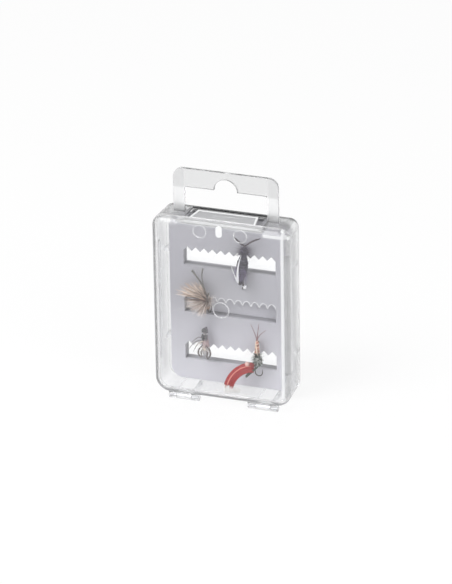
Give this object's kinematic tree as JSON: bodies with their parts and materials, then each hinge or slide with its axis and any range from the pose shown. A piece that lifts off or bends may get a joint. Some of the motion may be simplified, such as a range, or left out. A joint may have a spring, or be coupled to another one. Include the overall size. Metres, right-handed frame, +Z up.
{
  "type": "fly box",
  "caption": "Small clear hinged box with a hang tab, a latch tongue and a toothed rack inside that holds dressed fishing flies.",
  "frame": {"origin": "centre of the footprint, on the surface that the hinge feet stand on", "axes": "+X to the right seen from the lid, +Y from the lid to the back, +Z up to the hang tab"},
  "size_m": [0.066, 0.0206, 0.1135],
  "materials": {
    "clear_shell": "clear gloss",
    "clear_lid": "clear gloss",
    "rack_plastic": "satin",
    "pin_steel": "satin",
    "hook_wire": "bronzed",
    "dark_dubbing": "fuzzy",
    "pale_feather": "matt",
    "dark_quill": "matt",
    "tan_thread": "matt",
    "tan_hackle": "soft",
    "grey_dubbing": "fuzzy",
    "pink_thread": "matt",
    "green_hackle": "soft",
    "pale_thread": "matt",
    "red_feather": "soft"
  },
  "bodies": {
    "tray": {"rear_tray": "clear_shell", "hang_tab": "clear_shell", "rack": "rack_plastic", "biot_hook": "hook_wire", "biot_body": "dark_dubbing", "biot_wings": "pale_feather", "biot_tails": "dark_quill", "hackled_hook": "hook_wire", "hackled_body": "tan_thread", "hackled_wing": "tan_hackle", "hackled_tail": "dark_quill", "nymph_hook": "hook_wire", "nymph_body": "grey_dubbing", "nymph_legs": "dark_quill", "stonefly_hook": "hook_wire", "stonefly_body": "pink_thread", "stonefly_hackle": "green_hackle", "stonefly_tails": "dark_quill", "streamer_hook": "hook_wire", "streamer_feather": "red_feather", "streamer_stinger": "hook_wire", "streamer_head": "pale_thread", "streamer_tip": "pale_thread"},
    "lid": {"front_lid": "clear_lid", "hinge_pin_left": "pin_steel", "hinge_pin_right": "pin_steel"},
    "latch": {"latch_tongue": "clear_lid"}
  },
  "joints": [
    {"name": "lid_hinge", "type": "hinge", "parent": "tray", "child": "lid", "pos_m": [0, -0.00695, 0.0016], "axis": [1, 0, 0], "range_deg": [0, 180]},
    {"name": "latch_flex", "type": "hinge", "parent": "lid", "child": "latch", "pos_m": [0, -0.00585, 0.0916], "axis": [1, 0, 0], "range_deg": [0, 12], "stiffness_Nm_per_rad": 0.05}
  ]
}
